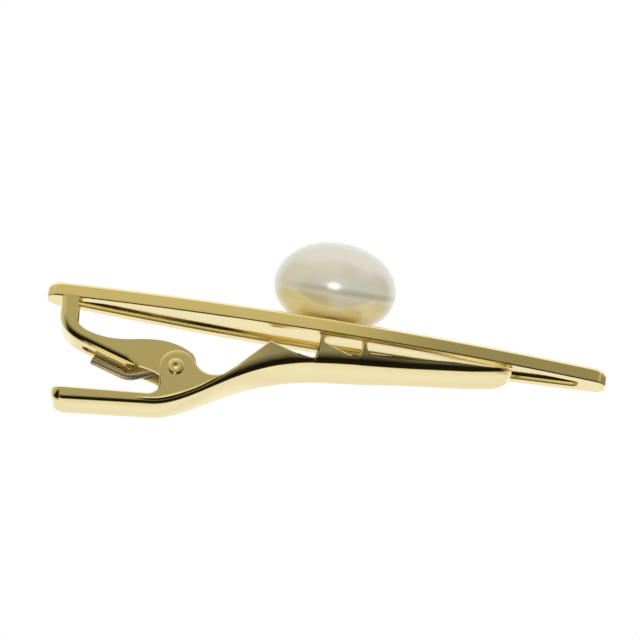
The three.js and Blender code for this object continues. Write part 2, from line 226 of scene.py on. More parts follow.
# The front bar. A lens-shaped bar of brass, cast and milled, with a shallow tray milled
# out of its back and a solid block left at each end, polished and gold plated.
bar_half, bar_middle_half, bar_top = np.array(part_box("front_bar")[1]) / mm
bar_end_half = 1.45
bar_crown = 0.10
bar_edge = 0.35
bar_end_round = 0.35
bar_end_ease = 1.6
bar_back_edge = 0.12
bar_corner = 0.7
tray_depth = 0.4
tray_lip = 1.15
tray_end = 2.7
tray_foot = 0.05
tray_lean = 0.04
lip_round = 0.07
gold_deep = (0.93, 0.79, 0.40, 1.0)
gold_pale = (0.97, 0.86, 0.50, 1.0)
opens_from, opens_to = -0.011, -0.004


def bezier(*points, count=12, first=True):
    """Points on the Bezier curve of the given control points, by mixing neighbours until one is left."""
    share = np.linspace(0, 1, count)[:, None, None]
    mixed = np.asarray(points, float)[None]
    while mixed.shape[1] > 1:
        mixed = mixed[:, :-1] * (1 - share) + mixed[:, 1:] * share
    return mixed[0 if first else 1:, 0]


def skin(name, rows, finish, around=True, kept=None):
    """One face between each four neighbours of a grid of points in millimetres, rows by columns. A closed
    grid joins its last column to its first, points that fall together are merged, and the faces are turned
    so that the sum of their triple products, six times the volume, is positive. The UV map runs round the
    columns and along the rows."""
    rows = np.asarray(rows, float)
    high, wide = rows.shape[:2]
    spans = wide if around else wide - 1
    row, column = (part.ravel() for part in np.meshgrid(np.arange(high - 1), np.arange(spans), indexing="ij"))
    if kept is not None:
        row, column = row[kept.ravel()], column[kept.ravel()]
    corner_rows = np.stack([row, row, row + 1, row + 1], 1)
    corner_columns = np.stack([column, column + 1, column + 1, column], 1)
    faces = corner_rows * wide + corner_columns % wide
    points = rows.reshape(-1, 3)
    a, b, c, d = (points[faces[:, k]] for k in range(4))
    triple = np.einsum("ij,ij->i", a, np.cross(b, c)) + np.einsum("ij,ij->i", a, np.cross(c, d))
    if around and triple.sum() < 0:
        faces, corner_rows, corner_columns = faces[:, ::-1], corner_rows[:, ::-1], corner_columns[:, ::-1]
    mesh = bpy.data.meshes.new(name)
    mesh.from_pydata(points * mm, [], faces.tolist())
    laid = np.stack([corner_columns / spans, corner_rows / (high - 1)], -1)
    mesh.uv_layers.new(name="laid").data.foreach_set("uv", laid.astype(np.float32).ravel())
    work = bmesh.new()
    work.from_mesh(mesh)
    bmesh.ops.remove_doubles(work, verts=work.verts, dist=2e-7)
    work.to_mesh(mesh)
    work.free()
    mesh.polygons.foreach_set("use_smooth", np.ones(len(mesh.polygons), bool))
    mesh.materials.append(finish)
    piece = bpy.data.objects.new(name, mesh)
    bpy.context.scene.collection.objects.link(piece)
    return piece


def gold_plate(name, die_lines, lean=0.0):
    """Thin gold over polished brass: a slow cloud tints it and dulls it, fine lines run with the bar's
    length, and a faint orange peel breaks up what it reflects. Folded walls spring open a little: the relief
    rises with the height times their lean, and past the pivot times twice as much."""
    plate = bpy.data.materials.new(name)
    plate.use_nodes = True
    plate.node_tree.nodes.clear()
    gold = Tone(plate.node_tree)
    place = gold.node("ShaderNodeTexCoord", output="Object")
    cloud = gold.node(
        "ShaderNodeTexNoise", (), {"Vector": place, "Scale": 260.0, "Detail": 4.0, "Roughness": 0.6}, "Fac"
    )
    stretched = gold.node("ShaderNodeMapping", (), {"Vector": place, "Scale": (90.0, 5200.0, 5200.0)})
    lines = gold.node("ShaderNodeTexNoise", (), {"Vector": stretched, "Scale": 1.0, "Detail": 3.0}, "Fac")
    peel = gold.node("ShaderNodeTexNoise", (), {"Vector": place, "Scale": 900.0, "Detail": 2.0}, "Fac")
    specks = gold.node("ShaderNodeTexNoise", (), {"Vector": place, "Scale": 5200.0, "Detail": 1.0}, "Fac")
    pits = gold.node("ShaderNodeMapRange", (), {"Value": specks, "From Min": 0.72, "From Max": 0.80})
    tint = gold.node(
        "ShaderNodeMix", of_colours, {0: cloud * 0.8 + lines * 0.2, 6: gold_deep, 7: gold_pale}, 2
    )
    dull = 0.07 + 0.07 * cloud + (0.04 + die_lines * 0.08) * lines + 0.06 * pits
    relief = peel * 0.5 + lines * die_lines - pits * 0.3
    bump = gold.node("ShaderNodeBump", (), {"Height": relief, "Strength": 0.25, "Distance": 0.000012})
    if lean:
        along_bar, height = (gold.node("ShaderNodeSeparateXYZ", (), {0: place}, axis) for axis in (0, 2))
        opened = gold.node(
            "ShaderNodeMapRange",
            eased,
            {
                "Value": along_bar, "From Min": opens_from, "From Max": opens_to,
                "To Min": lean, "To Max": 2 * lean,
            },
        )
        bump = gold.node(
            "ShaderNodeBump", (), {"Height": height * opened, "Strength": 1.0, "Distance": 1.0, "Normal": bump}
        )
    coat = gold.node(
        "ShaderNodeBsdfPrincipled", (), {"Base Color": tint, "Metallic": 1.0, "Roughness": dull, "Normal": bump}
    )
    gold.node("ShaderNodeOutputMaterial", (), {"Surface": coat})
    return plate


def lens_outline(half_length, end_half, cut):
    """A quarter of the bar in plan, from its middle to its end: the arc through the middle's and the end's
    half widths, a cut corner, and the end itself, each corner eased by a small Bezier curve. The other
    quarters mirror it."""
    sagitta = bar_middle_half - bar_end_half
    radius = (bar_half**2 + sagitta**2) / (2 * sagitta)
    narrower = bar_end_half - end_half
    reach = half_length - cut
    side_x = np.concatenate([np.linspace(0, reach - 1.2, 60), np.linspace(reach - 1.0, reach - 0.25, 5)])
    at = lambda x: np.sqrt((radius - narrower) ** 2 - x**2) - radius + bar_middle_half
    side = np.stack([side_x, at(side_x)], 1)
    first = np.array([reach, at(reach)])
    second = first + [cut, -cut]
    ease = min(0.25, cut * 0.4)
    slant = np.array([1.0, -1.0]) / np.sqrt(2)
    corner_1 = bezier(side[-1], first, first + slant * ease, count=7, first=False)
    corner_2 = bezier(second - slant * ease, second, second - [0, ease], count=7)
    end = np.stack([np.full(4, half_length), np.linspace(corner_2[-1, 1], 0, 5)[1:]], 1)
    quarter = np.concatenate([side, corner_1, corner_2, end])
    half = np.concatenate([quarter, quarter[-2::-1] * [1, -1]])
    return np.concatenate([half, half[-2:0:-1] * [-1, 1]])


def inwards(outline):
    """Unit vectors that point into a closed outline: the chord through each point's neighbours, turned a
    quarter."""
    chord = np.roll(outline, -1, 0) - np.roll(outline, 1, 0)
    turned = np.stack([chord[:, 1], -chord[:, 0]], 1)
    turned /= np.linalg.norm(turned, axis=1, keepdims=True)
    return turned * np.sign(-(turned * outline).sum())


def bar_rows():
    """Rings from the spine of the front, over its rounded edge, down the side, round the lip and into the
    tray. Each ring is the outline moved in, at one height; towards a spine the outline shrinks onto the
    long axis."""
    outer = lens_outline(bar_half, bar_end_half, bar_corner)
    moved = inwards(outer)
    spine_reach = bar_half - bar_end_half
    spine = np.stack([np.clip(outer[:, 0], -spine_reach, spine_reach), np.zeros(len(outer))], 1)
    ring = lambda plan, height: np.concatenate([plan, np.broadcast_to(height, len(plan))[:, None]], 1)
    at_end = np.clip((np.abs(outer[:, 0]) - bar_half + bar_end_ease) / bar_end_ease, 0, 1)[:, None] ** 2
    brow_round = bar_edge + bar_end_round * at_end
    brow = outer + moved * brow_round
    rows = []
    for share in (0.0, 0.2, 0.4, 0.6, 0.8, 0.93, 0.985):
        rows.append(ring(spine + (brow - spine) * share, bar_top - bar_crown * share**2))
    for angle in np.radians(np.linspace(0, 90, 9)):
        fall = brow_round[:, 0] * (1 - np.cos(angle))
        rows.append(ring(outer + moved * brow_round * (1 - np.sin(angle)), bar_top - bar_crown - fall))
    for height in (0.6, 0.4, bar_back_edge * 2):
        rows.append(ring(outer, height))
    for angle in np.radians(np.linspace(0, 90, 5)):
        inset = bar_back_edge * (1 - np.cos(angle))
        rows.append(ring(outer + moved * inset, bar_back_edge * (1 - np.sin(angle))))
    tray_half = bar_half - tray_end
    tray = lens_outline(tray_half, bar_end_half - tray_lip, tray_lip / 4)
    tray_in = inwards(tray)
    lip = outer + moved * bar_back_edge
    lip_out = tray - tray_in * lip_round
    for share in (0.06, 0.5, 0.94, 1.0):
        rows.append(ring(lip + (lip_out - lip) * share, 0.0))
    for angle in np.radians(np.linspace(30, 90, 3)):
        rows.append(ring(tray - tray_in * lip_round * (1 - np.sin(angle)), lip_round * (1 - np.cos(angle))))
    rows.append(ring(tray + tray_in * tray_lean, tray_depth - tray_foot))
    for angle in np.radians(np.linspace(20, 90, 4)):
        inset = tray_lean + tray_foot * (1 - np.cos(angle))
        rows.append(ring(tray + tray_in * inset, tray_depth - tray_foot * (1 - np.sin(angle))))
    tray_reach = tray_half - 2
    tray_spine = np.stack([np.clip(tray[:, 0], -tray_reach, tray_reach), np.zeros(len(tray))], 1)
    floor_edge = tray + tray_in * (tray_lean + tray_foot)
    for share in (0.06, 0.5, 1.0):
        rows.append(ring(floor_edge + (tray_spine - floor_edge) * share, tray_depth))
    return rows


polished_gold = gold_plate("polished_gold", 0.25)
bar = skin("lens_bar", bar_rows(), polished_gold)
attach(bar, "bar")
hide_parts("front_bar")

# The pearl's cup and peg. A small turned brass disc with a rolled edge seats the pearl, and
# a round peg stands up from it into the pearl's drilled hole, where it is cemented.
cup_low, cup_high = (np.array(corner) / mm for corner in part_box("pearl_cup"))
peg_low, peg_high = (np.array(corner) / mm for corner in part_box("pearl_peg"))
peg_radius = peg_high[0]


def turned(profile, count, centre=(0.0, 0.0)):
    """A profile of (radius, height) carried round the vertical axis through a centre: each radius makes a
    circle."""
    radius, height = np.asarray(profile, float).T
    angle = np.arange(count) * 2 * np.pi / count
    x = centre[0] + radius[:, None] * np.cos(angle)
    y = centre[1] + radius[:, None] * np.sin(angle)
    return np.stack([x, y, np.broadcast_to(height[:, None], x.shape)], -1)


cup_radius, cup_bore, cup_floor, cup_top = cup_high[0], peg_radius + 0.02, cup_low[2], cup_high[2]
cup_seat = cup_top - 0.08
rolled = (cup_top - cup_floor) / 2
roll = np.radians(np.linspace(-90, 90, 13))
cup_profile = np.concatenate([
    [(cup_bore, cup_floor), (cup_bore + 0.05, cup_floor), (cup_radius - rolled - 0.1, cup_floor)],
    np.stack([cup_radius - rolled + rolled * np.cos(roll), cup_floor + rolled + rolled * np.sin(roll)], 1),
    [(cup_radius - rolled - 0.1, cup_top), (cup_radius - 0.7, cup_seat), (cup_bore + 0.05, cup_seat)],
    [(cup_bore, cup_seat), (cup_bore, cup_floor)],
])
cup = skin("pearl_seat", turned(cup_profile, 72), polished_gold)
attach(cup, "bar")
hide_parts("pearl_cup")

peg_tip = peg_radius / 2
tip = np.radians(np.linspace(0, 90, 6))
peg_profile = np.concatenate([
    [(0.0, peg_low[2]), (peg_radius * 0.9, peg_low[2]), (peg_radius, peg_low[2] + 0.05)],
    np.stack([peg_radius - peg_tip + peg_tip * np.cos(tip), peg_high[2] - peg_tip + peg_tip * np.sin(tip)], 1),
    [(0.0, peg_high[2])],
])
peg = skin("pearl_post", turned(peg_profile, 32), polished_gold)
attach(peg, "bar")
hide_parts("pearl_peg")

# The pearl. A cultured button pearl, wider than it is high and not quite regular, cut flat
# and half drilled below; its skin of nacre is a smooth grey cream with a pink and green bloom.
pearl_low, pearl_high = (np.array(corner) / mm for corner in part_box("pearl"))
pearl_base_radius = 2.3
pearl_equator = pearl_high[0]
pearl_unevenness = 0.012
# Below this height the pearl's lower part carries a painted reflection of the gold bar beneath it.
painted_reflection_line = 5.03
# Height above that line of a dark band of painted shade.
dark_band_height = 0.45
nacre_cream = (0.82, 0.785, 0.70, 1.0)
nacre_rose = (0.83, 0.765, 0.695, 1.0)
nacre_green = (0.765, 0.775, 0.665, 1.0)
# Painted shade that darkens the pearl's left side.
painted_left_shade = (0.77, 0.74, 0.63, 1.0)
# A dark band of painted shade just above the painted reflection.
painted_dark_band = (0.52, 0.49, 0.36, 1.0)
# Painted reflection of the gold bar on the pearl's lower part: honey gold, and a paler amber further down.
painted_gold_reflection = (0.70, 0.62, 0.34, 1.0)
painted_gold_reflection_low = (0.95, 0.80, 0.40, 1.0)
# Pale patches of painted reflection inside the painted gold reflection.
painted_pale_reflection = (0.84, 0.77, 0.58, 1.0)


def pearl_rows():
    """A spheroid cut flat below, from the drilled hole out and over to the crown, with slow waves that thin and
    thicken it: the radius at each point is scaled by one plus a small sum of cosines of its turn and height."""
    cut = np.arccos(pearl_base_radius / pearl_equator)
    half_height = (pearl_high[2] - pearl_low[2]) / (1 + np.sin(cut))
    middle = pearl_high[2] - half_height
    hole = peg_radius + 0.05
    deep, low = peg_high[2] + 0.05, pearl_low[2]
    drilled = [(0.0, deep), (hole * 0.9, deep), (hole, peg_high[2]), (hole, low + 0.05)]
    face = [(hole + 0.05, low), (pearl_base_radius * 0.6, low), (pearl_base_radius * 0.97, low)]
    angle = np.linspace(-cut, np.pi / 2, 64)
    body = np.stack([pearl_equator * np.cos(angle), middle + half_height * np.sin(angle)], 1)
    rows = turned(np.concatenate([drilled, face, body]), 128)
    turn = np.arctan2(rows[..., 1], rows[..., 0])
    height = (rows[..., 2] - middle) / half_height
    outside = (np.arange(len(rows)) >= len(drilled) + len(face))[:, None]
    waves = np.cos(2 * turn + 0.7 + height) + 0.6 * np.cos(3 * turn - 1.1 + 2 * height) - 1.6
    scale = 1 + outside * pearl_unevenness * 0.5 * waves * (1 - height**2)
    rows[..., :2] *= scale[..., None]
    return rows


nacre = bpy.data.materials.new("nacre")
nacre.use_nodes = True
nacre.node_tree.nodes.clear()
shell = Tone(nacre.node_tree)
shell_place = shell.node("ShaderNodeTexCoord", output="Object")
bloom = shell.node(
    "ShaderNodeTexNoise", (), {"Vector": shell_place, "Scale": 170.0, "Detail": 3.0, "Distortion": 0.6}, "Fac"
)
drift = shell.node("ShaderNodeTexNoise", (), {"Vector": shell_place, "Scale": 95.0, "Detail": 2.0}, "Fac")
grain = shell.node("ShaderNodeTexNoise", (), {"Vector": shell_place, "Scale": 2600.0, "Detail": 3.0}, "Fac")
layers = shell.node("ShaderNodeTexNoise", (), {"Vector": shell_place, "Scale": 520.0, "Detail": 4.0}, "Fac")
rosy = shell.node("ShaderNodeMapRange", (), {"Value": bloom, "From Min": 0.42, "From Max": 0.68})
greenish = shell.node("ShaderNodeMapRange", (), {"Value": drift, "From Min": 0.48, "From Max": 0.70})
# The pearl's base colour: its nacre tones, with painted shade and painted reflections mixed over them further down.
skin_and_painted_light = shell.node("ShaderNodeMix", of_colours, {0: rosy * 0.8, 6: nacre_cream, 7: nacre_rose}, 2)
skin_and_painted_light = shell.node("ShaderNodeMix", of_colours, {0: greenish * 0.8, 6: skin_and_painted_light, 7: nacre_green}, 2)
pearl_x, pearl_y, pearl_z = (
    shell.node("ShaderNodeSeparateXYZ", (), {0: shell_place}, axis) / mm for axis in (0, 1, 2)
)
# Painted shade: the pearl is darker towards its left, with a noisy edge.
left_shade_mask = shell.node(
    "ShaderNodeMapRange", eased, {"Value": pearl_x + 3.0 * bloom, "From Min": 1.5, "From Max": -4.5}
)
skin_and_painted_light = shell.node("ShaderNodeMix", of_colours, {0: left_shade_mask * 0.85, 6: skin_and_painted_light, 7: painted_left_shade}, 2)
# Painted reflection: below a line that tilts with the camera's fall, the pearl's lower part is painted honey gold,
# turning amber further down, for the gold bar that it mirrors.
low = (
    (pearl_z - painted_reflection_line) * np.cos(camera_fall)
    + shell.maths("ABSOLUTE", pearl_y) * np.sin(camera_fall)
    + 0.5 * (drift - 0.5)
)
painted_reflection_mask = shell.node("ShaderNodeMapRange", eased, {"Value": low, "From Min": 0.2, "From Max": -0.4})
painted_reflection_low_mask = shell.node("ShaderNodeMapRange", (), {"Value": low, "From Min": -0.8, "From Max": -1.8})
painted_reflection = shell.node("ShaderNodeMix", of_colours, {0: painted_reflection_low_mask, 6: painted_gold_reflection, 7: painted_gold_reflection_low}, 2)
# Painted reflection: pale patches scattered by noise through the painted gold reflection.
pale_reflection_noise = shell.node(
    "ShaderNodeTexNoise", (), {"Vector": shell_place, "Scale": 240.0, "Detail": 1.0, "Distortion": 0.4}, "Fac"
)
pale_reflection_mask = shell.node(
    "ShaderNodeMapRange", (), {"Value": pale_reflection_noise, "From Min": 0.50, "From Max": 0.62, "To Max": 0.75}
)
painted_reflection = shell.node("ShaderNodeMix", of_colours, {0: pale_reflection_mask, 6: painted_reflection, 7: painted_pale_reflection}, 2)
# Painted shade: a dark band just above the painted reflection's edge, fainter on the pearl's left.
from_dark_band = shell.maths("ABSOLUTE", low - dark_band_height)
dark_band_mask = shell.node("ShaderNodeMapRange", eased, {"Value": from_dark_band, "From Min": 0.55, "From Max": 0.0})
dark_band_mask = dark_band_mask * 0.6 * (1.3 - left_shade_mask)
skin_and_painted_light = shell.node("ShaderNodeMix", of_colours, {0: dark_band_mask, 6: skin_and_painted_light, 7: painted_dark_band}, 2)
# Lays the painted reflection of the gold bar over the pearl's lower part.
skin_and_painted_light = shell.node("ShaderNodeMix", of_colours, {0: painted_reflection_mask, 6: skin_and_painted_light, 7: painted_reflection}, 2)
lustre = shell.node(
    "ShaderNodeBump", (), {"Height": layers * 0.6 + grain * 0.1, "Strength": 0.2, "Distance": 0.00002}
)
nacre_coat = shell.node(
    "ShaderNodeBsdfPrincipled",
    (),
    {
        "Base Color": skin_and_painted_light,
        "Metallic": 0.15,
        "Roughness": 0.22 + 0.06 * grain,
        "Coat Weight": 0.80 + 0.15 * layers,
        "Coat Roughness": 0.17,
        "Coat IOR": 1.6,
        "Specular IOR Level": 0.6,
        "Normal": lustre,
    },
)
shell.node("ShaderNodeOutputMaterial", (), {"Surface": nacre_coat})
button_pearl = skin("button_pearl", pearl_rows(), nacre)
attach(button_pearl, "bar")
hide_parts("pearl")

pearl_middle = np.array([0.0, 0.0, (pearl_low[2] + pearl_high[2]) / 2]) * mm
lit = bpy.data.collections.new("lit_by_lamps")
lit.objects.link(button_pearl)


def disc_lamp(name, way, distance, size, power):
    """A round lamp that stands off the pearl's middle along a direction and shines back at it, on the pieces
    listed as lit by it alone."""
    lamp_data = bpy.data.lights.new(name, "AREA")
    lamp_data.shape, lamp_data.size, lamp_data.energy = "DISK", size, power
    made = bpy.data.objects.new(name, lamp_data)
    facing = Vector(way).to_track_quat("Z", "Y").to_matrix().to_4x4()
    made.matrix_world = Matrix.Translation(Vector(pearl_middle + np.array(way) * distance)) @ facing
    made.visible_camera = False
    made.light_linking.receiver_collection = lit
    bpy.context.scene.collection.objects.link(made)
    return made


disc_lamp("spark", (-0.05, -0.69, -0.72), 0.3, 0.11, 0.12).visible_diffuse = False
disc_lamp("fill", (0.15, -0.85, -0.50), 0.5, 0.3, 0.62).visible_glossy = False

# The stamped bracket. A channel folded from thin brass strip: its short leg is soldered under
# the bar's end, its arm runs back under the bar, and two round ears carry the pivot.
seam = 0.02
sheet = 0.38
bracket_low, bracket_high = (np.array(corner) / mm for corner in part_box("clip_bracket"))
pivot = np.array(next(joint for joint in frame["joints"] if joint["name"] == "jaw_pivot")["pos_m"])[[0, 2]] / mm
bracket_half = bracket_high[1]
leg_x = bracket_low[0]
leg_slant = 0.1
leg_depth = 1.72
arm_drop = 3.52
arm_slope = 0.306
arm_end = leg_x + 7.3
fold = 0.6
leg_fold = 0.95
slot_half = 0.6
slot_blind = arm_end - 4.6 + slot_half
ear_centre = pivot + [0.0, 0.4]
ear_round = 1.9


def arm_face(x):
    """Height of the arm's outer face: a straight fall from the leg."""
    return -arm_drop - arm_slope * (x - leg_x)


def along_curve(curve, places):
    """Points at given lengths along a polyline, by straight interpolation between its points."""
    steps = np.concatenate([[0.0], np.cumsum(np.linalg.norm(np.diff(curve, axis=0), axis=1))])
    return np.stack([np.interp(places, steps, curve[:, axis]) for axis in (0, 1)], -1)


def length_of(curve):
    """Sum of the distances between neighbouring points."""
    return np.linalg.norm(np.diff(curve, axis=0), axis=1).sum()


def edge_from(start, *parts):
    """A polyline from a start through parts, each the rest of a Bezier curve's control points and a count."""
    points = [np.asarray([start], float)]
    for controls, count in parts:
        points.append(bezier(points[-1][-1], *controls, count=count, first=False))
    return np.concatenate(points)


def round_part(centre, radius, start, stop, count):
    """An arc between two angles in degrees, its first point left out."""
    angle = np.radians(np.linspace(start, stop, count))[1:]
    return centre + radius * np.stack([np.cos(angle), np.sin(angle)], 1)


def bracket_grid():
    """The outer face, from the leg's top to the ears' ends, by columns from one wall's edge over its fold,
    the web and the other fold to the other wall's edge. Each column stands off the web's line along its
    inward normal; past the web's end only the walls go on. Rows near the slot are bent round its blind end."""
    leg_edge = lambda z: leg_x + leg_depth - leg_slant * z
    corner = leg_x + leg_slant * arm_drop
    web = edge_from(
        (leg_x, -seam),
        ([(leg_x + leg_slant * arm_drop / 2, -arm_drop / 2)], 8),
        ([(corner, arm_face(corner)), (corner + 2.5, arm_face(corner + 2.5))], 40),
        ([(arm_end, arm_face(arm_end))], 30),
    )
    wall_top = edge_from(
        (leg_edge(0), -seam),
        ([(leg_edge(-2.2), -2.2)], 60),
        ([(leg_edge(-2.9) + 0.1, -3.0), (leg_x + 3.2, arm_face(leg_x) + 0.05), (leg_x + 5.2, -3.62)], 160),
        ([(leg_x + 7.6, -3.62), (leg_x + 8.2, ear_centre[1] + 2.15), (ear_centre[0] - 1.7, ear_centre[1] + 2.14)], 160),
        ([(ear_centre[0] - 0.6, ear_centre[1] + 2.14), (ear_centre[0] + 0.7, ear_centre[1] + 1.75),
          tuple(ear_centre + ear_round * np.array([np.cos(0.7), np.sin(0.7)]))], 60),
    )
    flare = 1.1
    flare_end = np.array([arm_end + flare, arm_face(arm_end) - 0.2])
    under_ear = ear_centre + ear_round * np.array([np.cos(-2.2), np.sin(-2.2)])
    lower = edge_from(
        (arm_end, arm_face(arm_end)),
        ([tuple(flare_end)], 14),
        ([(arm_end + 1.6, arm_face(arm_end) - 0.15), tuple(ear_centre + [-1.6, -1.0]), tuple(under_ear)], 60),
    )
    lower = np.concatenate([lower, round_part(ear_centre, ear_round, np.degrees(-2.2), -40, 60)])

    total = length_of(web)
    blind = total - (arm_end - slot_blind) * np.hypot(1, arm_slope)
    rows_at = np.concatenate([np.linspace(0, blind, 34), np.linspace(blind, total, 20)[1:]])
    fine = np.linspace(0, total, 2001)
    line = along_curve(web, fine)
    heading = np.gradient(line, axis=0)
    heading /= np.linalg.norm(heading, axis=1, keepdims=True)
    inward_line = np.stack([-heading[:, 1], heading[:, 0]], 1)
    web_at = lambda places: np.stack([np.interp(places, fine, line[:, k]) for k in (0, 1)], -1)
    inward_at = lambda places: np.stack([np.interp(places, fine, inward_line[:, k]) for k in (0, 1)], -1)

    reach = wall_top[None] - web_at(rows_at)[:, None]
    inward = inward_at(rows_at)
    across = np.abs(reach[..., 0] * inward[:, None, 1] - reach[..., 1] * inward[:, None, 0])
    nearest = np.maximum.accumulate(np.argmin(across, 1))
    edge_rows = wall_top[nearest]
    ear_top = round_part(ear_centre, ear_round, np.degrees(0.7), 40, 3)
    rest_of_top = np.concatenate([wall_top[nearest[-1]:], ear_top])

    ear_rows = 30
    ear_share = np.linspace(0, 1, ear_rows + 1)[1:]
    ear_low = along_curve(lower, ear_share * length_of(lower))
    ear_top = along_curve(rest_of_top, ear_share * length_of(rest_of_top))
    left = np.clip((flare_end[0] - ear_low[:, 0]) / flare, 0, 1) * (ear_share < 0.5)
    ear_fold = fold * left
    row_fold = fold + (leg_fold - fold) * 0.5 * (1 + np.cos(np.pi * np.clip(rows_at / 4.5, 0, 1)))
    row_fold = row_fold[:, None]
    ear_foot = ear_low + np.stack([0 * ear_fold, ear_fold], 1)

    wall_share = np.linspace(0, 1, 8)
    fold_angle = np.radians(np.linspace(0, 90, 8))[1:]
    web_half = bracket_half - leg_fold
    one_side = np.array([0.3, 0.5, slot_half, 0.9, web_half - 0.06])
    web_y = np.concatenate([-one_side[::-1], [0.0], one_side])
    blank = []
    for share in wall_share:
        foot = web_at(rows_at) + inward * row_fold
        main = edge_rows + (foot - edge_rows) * share
        ears = ear_top + (ear_foot - ear_top) * share
        chord = ear_top[-1] + (ear_foot[-1] - ear_top[-1]) * share
        angle = np.radians(40 - 80 * share)
        bulge = ear_centre + ear_round * np.array([np.cos(angle), np.sin(angle)]) - chord
        near_end = np.clip((ear_share - 0.62) / 0.38, 0, 1) ** 1.5
        ears = ears + near_end[:, None] * bulge
        blank.append((np.concatenate([main, ears]), -bracket_half))
    for angle in fold_angle:
        lift, shift = row_fold * (1 - np.sin(angle)), row_fold[:, 0] * (1 - np.cos(angle))
        main = web_at(rows_at) + inward * lift
        ears = ear_low + np.stack([0 * ear_fold, ear_fold * (1 - np.sin(angle))], 1)
        blank.append((np.concatenate([main, ears]), np.concatenate([
            -bracket_half + shift, -bracket_half + ear_fold * (1 - np.cos(angle))
        ])))
    half_columns = len(blank)
    columns = list(blank)
    for y in web_y:
        bulge = np.sqrt(max(slot_half**2 - y**2, 0.0))
        near = np.clip((rows_at - (blind - 2.6)) / 2.6, 0, 1) * (rows_at <= blind + 1e-9)
        after = np.clip(1 - (rows_at - blind) / 1.0, 0, 1) * (rows_at > blind + 1e-9)
        main = web_at(rows_at - bulge * (near + after))
        columns.append((np.concatenate([main, ear_low]), y))
    columns += [(points, -np.asarray(y)) for points, y in reversed(blank)]
    grid = np.stack([
        np.stack([points[:, 0], np.broadcast_to(y, len(points)), np.minimum(points[:, 1], -seam)], -1)
        for points, y in columns
    ], 1)

    main_count = len(rows_at)
    row = np.arange(grid.shape[0] - 1)[:, None]
    column = np.arange(grid.shape[1] - 1)[None]
    in_wall = (column < len(wall_share) - 1) | (column >= grid.shape[1] - len(wall_share))
    in_fold = ~in_wall & ((column < half_columns - 1) | (column >= grid.shape[1] - half_columns))
    in_web = ~in_wall & ~in_fold
    folded_on = np.concatenate([np.ones(main_count), (ear_fold > 0).astype(float)])
    first_slot = half_columns + list(web_y).index(-slot_half)
    in_slot = (column >= first_slot) & (column < first_slot + 6) & (row >= 33)
    kept = in_wall | (in_web & (row < main_count - 1)) | (in_fold & ((row < main_count) | (folded_on[row] > 0)))
    return grid, kept & ~in_slot


def folded(piece, thickness, bevel):
    """Thickens a sheet inwards and eases its cut edges."""
    wall = piece.modifiers.new("thickness", "SOLIDIFY")
    wall.thickness, wall.offset = thickness * mm, -1.0
    ease = piece.modifiers.new("eased_edges", "BEVEL")
    ease.width, ease.segments, ease.limit_method, ease.angle_limit = bevel * mm, 2, "ANGLE", np.radians(55)
    ease.use_clamp_overlap = True
    ease.harden_normals = True


stamped_gold = gold_plate("stamped_gold", 0.8, 0.1)
bracket_rows, bracket_kept = bracket_grid()
bracket = skin("clip_channel", bracket_rows, stamped_gold, around=False, kept=bracket_kept)
folded(bracket, sheet, 0.08)
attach(bracket, "bar")
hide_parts("clip_bracket")

# The toothed jaw. One stamping makes the thumb tab, the two ears and the long jaw: a closed
# trough of brass strip, wider at the jaw, whose upper edges are cut into three biting teeth.
jaw_low, jaw_high = (np.array(corner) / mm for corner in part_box("jaw_lever"))
ear_half = bracket_half + 0.05 + sheet
tab_end, nose_end = jaw_low[0], jaw_high[0]
tab_drop = 5.05
tab_slope = 0.107
tab_wall = 1.25
tab_wall_fall = 0.021
tab_corner = 1.0
tight_fold = 0.35
jaw_fold_in, jaw_fold_up = 0.42, 1.15
jaw_middle_half, jaw_nose_half = 3.5, 3.075
nose_length = 2.0
tooth_x = pivot[0] + np.array([8.64, 13.4, 17.6])
tooth_tip = -np.array([1.65, 0.35, 0.3])
scoop_floor = -np.array([2.72, 1.78])
rim_drop = 1.3
crown = 0.09
bead = 0.14
cut_ease = 0.12


def smooth(x, start, end):
    """Rises from 0 to 1 between two places as three squares less two cubes of the share of the way."""
    share = np.clip((x - start) / (end - start), 0, 1)
    return share * share * (3 - 2 * share)


def tab_face(x):
    """Height of the tab's outer face: a slow straight rise from its end."""
    return pivot[1] - tab_drop + tab_slope * (x - tab_end)


def jaw_half_at(x):
    """Half the trough's width: the ears' half width, spreading to the jaw's middle and narrowing to its
    nose."""
    spread = (jaw_middle_half - ear_half) * smooth(x, pivot[0] + 0.7, pivot[0] + 10.4)
    return ear_half + spread - (jaw_middle_half - jaw_nose_half) * smooth(x, 1.5, 9.0)


